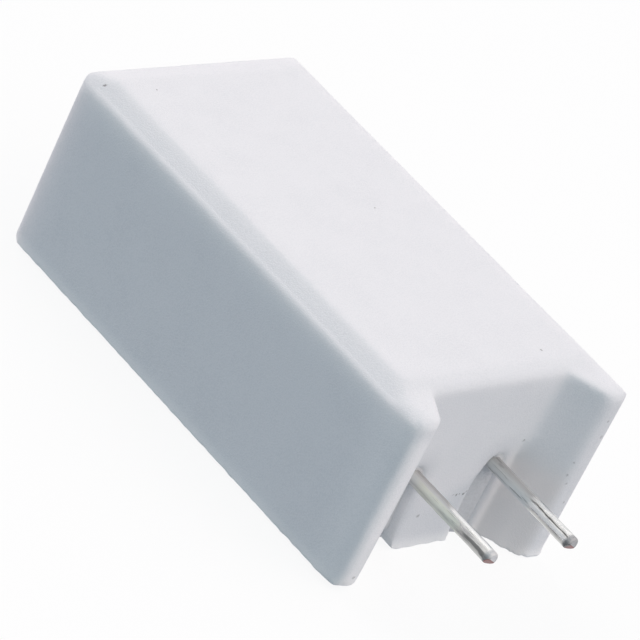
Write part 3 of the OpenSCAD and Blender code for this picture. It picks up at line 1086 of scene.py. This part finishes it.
def dark_reflection_mask(tree, angle, along, dark_reflections):
    """The strength inside long patches of painted dark reflection (degrees, station, half width, half
    length, strength).
    """
    total = 0.0
    for degrees, station, half_width, half_length, strength in dark_reflections:
        aside = calculate(tree, "DIVIDE", calculate(tree, "SUBTRACT", angle, degrees), half_width)
        ahead = calculate(tree, "DIVIDE", calculate(tree, "SUBTRACT", along, station), half_length)
        square = calculate(tree, "ADD", calculate(tree, "MULTIPLY", aside, aside),
                           calculate(tree, "MULTIPLY", ahead, ahead))
        total = calculate(tree, "MAXIMUM", total, fade(tree, square, *PATCH_EDGE, 0.0, strength))
    return total

# %% The film near the case
FLUX_YELLOW = (0.96, 0.97, 0.87, 1)
DUST_GREY = (0.92, 0.93, 0.93, 1)
FILM_RAGGED = 0.5
FILM_EDGE = (-0.25, 0.35)
TAIL_TURN = (116.0, 134.0)
TINT_TURN = (116.0, 138.0)
TINT_FROM_Y = (face_y / MM - 0.1, face_y / MM - 0.9)
FILM_LINES = (0.56, 0.72)
FILM_LINE_SHARE = 0.35
SOOT_FROM = 0.5
SOOT_SHARE = 0.3


def film_over(tree, drawn, ragged, along, film):
    """The film's colour, and 1 where it lies on the tin."""
    start = face_y / MM - film["length"]
    edge = calculate(tree, "ADD", along, share_of(tree, drawn["Patch"], -FILM_RAGGED, FILM_RAGGED))
    edge = calculate(tree, "ADD", edge, fade(tree, ragged, *TAIL_TURN, 0.0, film["tail"]))
    filmed = fade(tree, edge, start + FILM_EDGE[0], start + FILM_EDGE[1])
    tinted = calculate(tree, "MULTIPLY", fade(tree, ragged, *TINT_TURN), fade(tree, along, *TINT_FROM_Y))
    colour = mix_colours(tree, tinted, DUST_GREY, film["colour"])
    coat = combine_vectors(tree, "MULTIPLY", tone_round(tree, ragged, film["tones"]), colour)
    lines = calculate(tree, "MULTIPLY", fade(tree, drawn["Streak"], *FILM_LINES), FILM_LINE_SHARE)
    soot = fade(tree, along, start + SOOT_FROM, face_y / MM, 0.0, SOOT_SHARE)
    return mix_colours(tree, calculate(tree, "MAXIMUM", lines, soot), coat, SPECK_GREY), filmed

# %% The cropped end
COPPER = (0.26, 0.095, 0.095, 1)
COPPER_SHADE = (0.13, 0.055, 0.055, 1)
WHITE = (1, 1, 1, 1)
CUT_BACK = 0.12 * MM
CUT_R = 0.14 * MM
BARE_BELOW = 0.052 * MM
CROP_SLOPE = Vector((-0.33, -0.76, -0.56)).normalized()
CROP_EDGE = (-0.025, -0.005)
BARE_EDGE = 0.05
SMEAR_RIM = 0.08
SMEAR_RAGGED = 0.1
SMEAR_REACH = (0.4, 0.2)
cut_y = cad_low.y + CUT_BACK


def smear_over(tree, drawn, ragged, along, radius, tint):
    """The colour of the tin that is smeared over the end, with painted shade round its rim, and 1 where it
    lies.
    """
    flat_r = (lead_r - CUT_R) / MM
    on_face = fade(tree, radius, flat_r + SMEAR_RIM, flat_r - SMEAR_RIM)
    smear = mix_colours(tree, on_face, tone_round(tree, ragged, SMEARED_RIM_PAINTED_SHADE), WHITE)
    edge = calculate(tree, "ADD", along, share_of(tree, drawn["Streak"], -SMEAR_RAGGED, SMEAR_RAGGED))
    at_end = fade(tree, edge, cut_y / MM + SMEAR_REACH[0], cut_y / MM + SMEAR_REACH[1])
    return combine_vectors(tree, "MULTIPLY", smear, tint), at_end


def cropped_facet(tree, drawn, point, x, aside, bare_from):
    """The colour of the facet that the cutter left below the end, bare copper beside painted dark
    reflection, and 1 where it lies.
    """
    ridge = Vector((x, cut_y, lead_z - BARE_BELOW)) / MM
    reach = measure_vectors(tree, "DOT_PRODUCT", combine_vectors(tree, "SUBTRACT", point, ridge), CROP_SLOPE)
    copper = mix_colours(tree, drawn["Patch"], COPPER, COPPER_SHADE)
    bare = fade(tree, aside, bare_from - BARE_EDGE, bare_from + BARE_EDGE)
    return mix_colours(tree, bare, PAINTED_DARK_REFLECTION, copper), fade(tree, reach, *CROP_EDGE)


print("leads cut at y", round(cut_y / MM, 2), "mm")

# %% The leads' materials
RAGGED = 14.0
SMEAR_DULL = 0.85
TIN_ROUGHNESS = (0.12, 0.27)
DULL_ROUGHNESS = 0.4
LINE_DEPTH = 0.006


def make_tin(name, x, tones, highlight_matt_share, film, dark_reflections, smear, bare_from):
    """Tin over copper, filmed where the lead leaves the case and smeared where it was cropped."""
    made, tree, shader, point = start_material(name)
    drawn = place_group(tree, streak_group, Point=point, Width=0.05, Length=0.9)
    angle, along, aside, radius = round_the_wire(tree, point, x)
    ragged = calculate(tree, "ADD", angle, share_of(tree, drawn["Streak"], -RAGGED, RAGGED))
    metal, painted_highlight = bare_tin(tree, drawn, angle, tones)
    coat, filmed = film_over(tree, drawn, ragged, along, film)
    body = mix_colours(tree, filmed, metal, coat)
    body = mix_colours(tree, dark_reflection_mask(tree, ragged, along, dark_reflections), body, PAINTED_DARK_REFLECTION)
    over_end, at_end = smear_over(tree, drawn, ragged, along, radius, smear)
    body = mix_colours(tree, at_end, body, over_end)
    facet, cropped = cropped_facet(tree, drawn, point, x, aside, bare_from)
    tree.links.new(mix_colours(tree, cropped, body, facet), shader.inputs["Base Color"])
    # The painted highlight is made partly matt, so that it shows white.
    dull = calculate(tree, "MAXIMUM", filmed, calculate(tree, "MULTIPLY", painted_highlight, highlight_matt_share))
    dull = calculate(tree, "MAXIMUM", dull, calculate(tree, "MULTIPLY", at_end, SMEAR_DULL))
    dull = calculate(tree, "MULTIPLY", dull, calculate(tree, "SUBTRACT", 1.0, cropped))
    tree.links.new(calculate(tree, "SUBTRACT", 1.0, dull), shader.inputs["Metallic"])
    rough = share_of(tree, drawn["Patch"], *TIN_ROUGHNESS)
    tree.links.new(calculate(tree, "MULTIPLY_ADD", dull, DULL_ROUGHNESS, rough), shader.inputs["Roughness"])
    raise_surface(tree, shader, drawn["Streak"], LINE_DEPTH)
    return made


# Patches of painted dark reflection are given by degrees, station, half width in degrees, half length in mm,
# and strength.
left_tin = make_tin(
    "tin_with_flux", left_x, LEFT_TIN_PAINTED_LIGHT, highlight_matt_share=0.3,
    film={"colour": FLUX_YELLOW, "tones": FILM_PAINTED_LIGHT_LEFT, "length": 2.5, "tail": 0.8},
    dark_reflections=[
        (163, -12.95, 15, 0.95, 0.75), (178, -13.6, 14, 0.4, 0.8), (181, -10.9, 10, 0.4, 0.15),
        (186, -9.4, 8, 0.8, 0.15),
    ],
    smear=(0.72, 0.72, 0.73), bare_from=-1.0,
)
right_tin = make_tin(
    "tin_with_dust", right_x, RIGHT_TIN_PAINTED_LIGHT, highlight_matt_share=0.4,
    film={"colour": DUST_GREY, "tones": FILM_PAINTED_LIGHT_RIGHT, "length": 2.75, "tail": 0.0},
    dark_reflections=[
        (203, -8.7, 5, 0.3, 0.45), (192, -9.4, 4, 0.5, 0.3), (184, -10.3, 4, 0.5, 0.5),
        (172, -10.9, 4, 0.3, 0.35), (154, -9.1, 4, 0.7, 0.4), (101, -8.6, 10, 0.25, 0.35),
        (118, -8.9, 9, 0.2, 0.25), (183, -12.6, 6, 0.9, 0.3),
    ],
    smear=(0.48, 0.48, 0.49), bare_from=-0.18,
)
print("materials", left_tin.name, right_tin.name)

# %% [markdown]
# ## The leads' skin
# A lead is round wire, cropped at one end and welded to a cap at the other. A curve with a bevel
# would be quick, but its end is a plain disc. Rings that are swept along the wire can close over the
# rounded end, get a hair thinner inside the cement, and carry ripples and the cutter's facet.

# %% The leads' paths
RING_STEP = 0.05 * MM
CUT_STEPS = 8
BEND_STEPS = 32
FACE_RINGS = 5
FIRST_RING = 0.2
BARE_SINK = 0.01 * MM


def lead_path(x, end_y, bend=()):
    """Stations from the cut end to the far end: points on the wire's axis, and the radius there."""
    flat_r = lead_r - CUT_R
    face_radii = [flat_r * (i + FIRST_RING) / FACE_RINGS for i in range(FACE_RINGS)]
    stations = [(Vector((x, cut_y, lead_z)), radius) for radius in face_radii]
    for turn in (math.pi / 2 * i / CUT_STEPS for i in range(CUT_STEPS + 1)):
        middle = Vector((x, cut_y + CUT_R * (1 - math.cos(turn)), lead_z))
        stations.append((middle, flat_r + CUT_R * math.sin(turn)))
    shaft_y = cut_y + CUT_R
    steps = round((end_y - shaft_y) / RING_STEP)
    for i in range(1, steps + 1):
        y = shaft_y + (end_y - shaft_y) * i / steps
        sink = BARE_SINK * min(max((y - face_y) / (cement_low.y - face_y), 0), 1)
        stations.append((Vector((x, y, lead_z)), lead_r - sink))
    return stations + list(bend)


def hairpin(x, bend_y, end_y):
    """The half turn behind the rod, and the stub to the far cap."""
    bare = lead_r - BARE_SINK
    turns = [math.pi * i / BEND_STEPS for i in range(1, BEND_STEPS + 1)]
    arc = [(Vector((x * math.cos(t), bend_y + x * math.sin(t), lead_z)), bare) for t in turns]
    return arc + [(Vector((-x, end_y, lead_z)), bare)]

# %% Sweeping a tube
SIDES = 64


def sweep(name, stations):
    """A closed tube through the stations, with flat ends."""
    shape = bmesh.new()
    up = Vector((0, 0, 1))
    rings = []
    along = Vector((0, 1, 0))
    for i, (middle, radius) in enumerate(stations):
        after = stations[min(i + 1, len(stations) - 1)][0]
        before = stations[max(i - 1, 0)][0]
        if (after - before).length > 0:
            along = (after - before).normalized()
        side = along.cross(up).normalized()
        turns = [2 * math.pi * k / SIDES for k in range(SIDES)]
        spokes = [math.cos(t) * side + math.sin(t) * up for t in turns]
        rings.append([shape.verts.new(middle + radius * spoke) for spoke in spokes])
    for near, far in zip(rings, rings[1:]):
        for k in range(SIDES):
            shape.faces.new((near[k], near[(k + 1) % SIDES], far[(k + 1) % SIDES], far[k]))
    shape.faces.new(rings[0])
    shape.faces.new(list(reversed(rings[-1])))
    bmesh.ops.recalc_face_normals(shape, faces=shape.faces)
    mesh = bpy.data.meshes.new(name)
    shape.to_mesh(mesh)
    shape.free()
    piece = bpy.data.objects.new(name, mesh)
    scene.collection.objects.link(piece)
    return piece

# %% Both leads
RIPPLE = 0.01 * MM
RIPPLE_SIZE = 0.35 * MM

bend_y = return_high.y - lead_r + BARE_SINK - right_x
far_cap_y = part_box("far_cap")[1].y
left_lead = sweep("left_lead", lead_path(left_x, straight_high.y))
right_lead = sweep("right_lead", lead_path(right_x, bend_y, hairpin(right_x, bend_y, far_cap_y)))
for piece, node, finish, x in (
    (left_lead, "lead_straight", left_tin, left_x),
    (right_lead, "lead_return", right_tin, right_x),
):
    points = points_of(piece.data)
    ripple = np.where(points[:, 1] < face_y, RIPPLE * (unevenness(points, RIPPLE_SIZE, 2.0) - 1), 0)
    points += normals_of(piece.data) * ripple[:, None]
    ridge = Vector((x, cut_y, lead_z - BARE_BELOW))
    shave(points, ridge, CROP_SLOPE, points[:, 1] < ridge.y + 2 * lead_r)
    move_points(piece.data, np.clip(points, cad_low, cad_high))
    shade_smooth(piece.data)
    piece.data.materials.append(finish)
    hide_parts(node)
    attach(piece, "root")
    print(piece.name, "faces", len(piece.data.polygons))

# %% [markdown]
# ## The element inside
# Nothing of the rod, its caps or its winding shows, but they are there when the part is taken apart.
# They could have finer skins too. Their solids are right as they are, so they only get finishes: a
# cream ceramic rod, streaky tinned steel caps and a dull nickel alloy wire.

# %% Finishes of the hidden pieces
CORE_CREAM = (0.75, 0.71, 0.61, 1)
CORE_SHADE = (0.66, 0.61, 0.5, 1)
CORE_TOOTH = 0.02
CAP_BRIGHT = (0.74, 0.73, 0.71, 1)
CAP_DULL = (0.5, 0.49, 0.47, 1)
ALLOY_BRIGHT = (0.56, 0.54, 0.5, 1)
ALLOY_DULL = (0.36, 0.34, 0.31, 1)


def make_core():
    """Cream ceramic with a coarse tooth."""
    made, tree, shader, point = start_material("cream_core_ceramic")
    fired = place_group(tree, grain_group, Point=point, Grain_Size=0.12, Mottle_Size=1.5)
    colour = mix_colours(tree, fade(tree, fired["Mottle"], 0.3, 0.7), CORE_CREAM, CORE_SHADE)
    tree.links.new(colour, shader.inputs["Base Color"])
    tree.links.new(share_of(tree, fired["Grain"], 0.6, 0.85), shader.inputs["Roughness"])
    raise_surface(tree, shader, fired["Grain"], CORE_TOOTH)
    return made


def make_inner_metal(name, bright, dull, width, length):
    """Metal with lines of this width and length in mm, bright and dull by turns."""
    made, tree, shader, point = start_material(name)
    drawn = place_group(tree, streak_group, Point=point, Width=width, Length=length)
    colour = mix_colours(tree, fade(tree, drawn["Patch"], 0.35, 0.7), bright, dull)
    tree.links.new(colour, shader.inputs["Base Color"])
    tree.links.new(share_of(tree, drawn["Streak"], 0.2, 0.5), shader.inputs["Roughness"])
    shader.inputs["Metallic"].default_value = 1.0
    raise_surface(tree, shader, drawn["Streak"], LINE_DEPTH)
    return made


core_finish = make_core()
cap_finish = make_inner_metal("tinned_cap_steel", CAP_BRIGHT, CAP_DULL, width=0.15, length=0.8)
alloy_finish = make_inner_metal("nickel_alloy", ALLOY_BRIGHT, ALLOY_DULL, width=0.05, length=0.3)
hidden = {
    "winding_core": core_finish,
    "near_cap": cap_finish,
    "far_cap": cap_finish,
    "resistance_wire": alloy_finish,
}
for node, finish in hidden.items():
    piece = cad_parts[node]
    piece.data.materials.clear()
    piece.data.materials.append(finish)
    print(node, "gets", finish.name)

# %% [markdown]
# ## Floor, sky and lamps
# The photograph is cut out on white, lit by broad soft light from the front right, the front and
# behind, with a cooler, weaker sky that alone reaches the left side. The floor is white paper. Seen
# by the camera or in a reflection, it is mostly plain white and partly what falls on it, so that a
# faint shadow stays. For the rays that carry light it glows with a set, bluish strength instead, so
# the light that it throws up on the case doesn't change with the lamps. A white room with real bounces
# would be truer, but slower and hard to balance.

# %% Floor
FLOOR_SIZE = 4.0
FLOOR_GAP = 0.02 * MM
PAPER_WHITE = (0.97, 0.97, 0.97, 1)
PAPER_GLOW = (0.38, 0.395, 0.44, 1)
PAPER_SHARE = 0.88


def seen_directly(tree):
    """1 for rays from the camera, from a mirror or through glass, and 0 for those that carry light."""
    path = tree.nodes.new("ShaderNodeLightPath").outputs
    seen = calculate(tree, "MAXIMUM", path["Is Camera Ray"], path["Is Glossy Ray"])
    return calculate(tree, "MAXIMUM", seen, path["Is Transmission Ray"])


floor_mesh = bpy.data.meshes.new("floor")
half = FLOOR_SIZE / 2
corners = [(-half, -half, 0), (half, -half, 0), (half, half, 0), (-half, half, 0)]
floor_mesh.from_pydata(corners, [], [(0, 1, 2, 3)])
floor = bpy.data.objects.new("floor", floor_mesh)
floor.location.z = cad_low.z - FLOOR_GAP
scene.collection.objects.link(floor)

paper, tree, shader, _ = start_material("white_paper")
seen = seen_directly(tree)
shader.inputs["Base Color"].default_value = PAPER_WHITE
shader.inputs["Roughness"].default_value = 0.9
shader.inputs["Specular IOR Level"].default_value = 0.0
white = add_node(tree, "ShaderNodeEmission", Color=mix_colours(tree, seen, PAPER_GLOW, WHITE))
blend = tree.nodes.new("ShaderNodeMixShader")
wire(tree, blend.inputs["Fac"], share_of(tree, seen, 1.0, PAPER_SHARE))
tree.links.new(shader.outputs["BSDF"], blend.inputs[1])
tree.links.new(white.outputs["Emission"], blend.inputs[2])
tree.links.new(blend.outputs["Shader"], tree.nodes["Material Output"].inputs["Surface"])
floor_mesh.materials.append(paper)
print("floor at z", round(floor.location.z / MM, 3), "mm")

# %% Sky
SKY = (0.15, 0.265, 0.325, 1)

world = bpy.data.worlds.new("studio")
world.use_nodes = True
scene.world = world
tree = world.node_tree
sky = mix_colours(tree, seen_directly(tree), SKY, WHITE)
wire(tree, tree.nodes["Background"].inputs["Color"], sky)
print("sky", SKY[:3])

# %% Lamps
LAMP_SPREAD = math.radians(70)
LAMPS = [
    {"name": "key", "source": (0.41, -0.41, 0.82), "strength": 1.35, "colour": (1.0, 0.79, 0.77)},
    {"name": "front", "source": (0.0, -0.71, 0.71), "strength": 0.82, "colour": (1.0, 0.90, 0.79)},
    {"name": "back", "source": (0.0, 0.94, 0.34), "strength": 2.16, "colour": (1.0, 0.85, 0.81)},
]


def hang_lamp(name, source, strength, colour):
    """A very wide, soft source far away, shining from this direction."""
    data = bpy.data.lights.new(name, "SUN")
    data.energy = strength
    data.angle = LAMP_SPREAD
    data.color = colour
    made = bpy.data.objects.new(name, data)
    made.rotation_mode = "QUATERNION"
    made.rotation_quaternion = Vector(source).to_track_quat("Z", "Y")
    scene.collection.objects.link(made)


for lamp in LAMPS:
    hang_lamp(**lamp)
    print("lamp", lamp["name"], "strength", lamp["strength"])
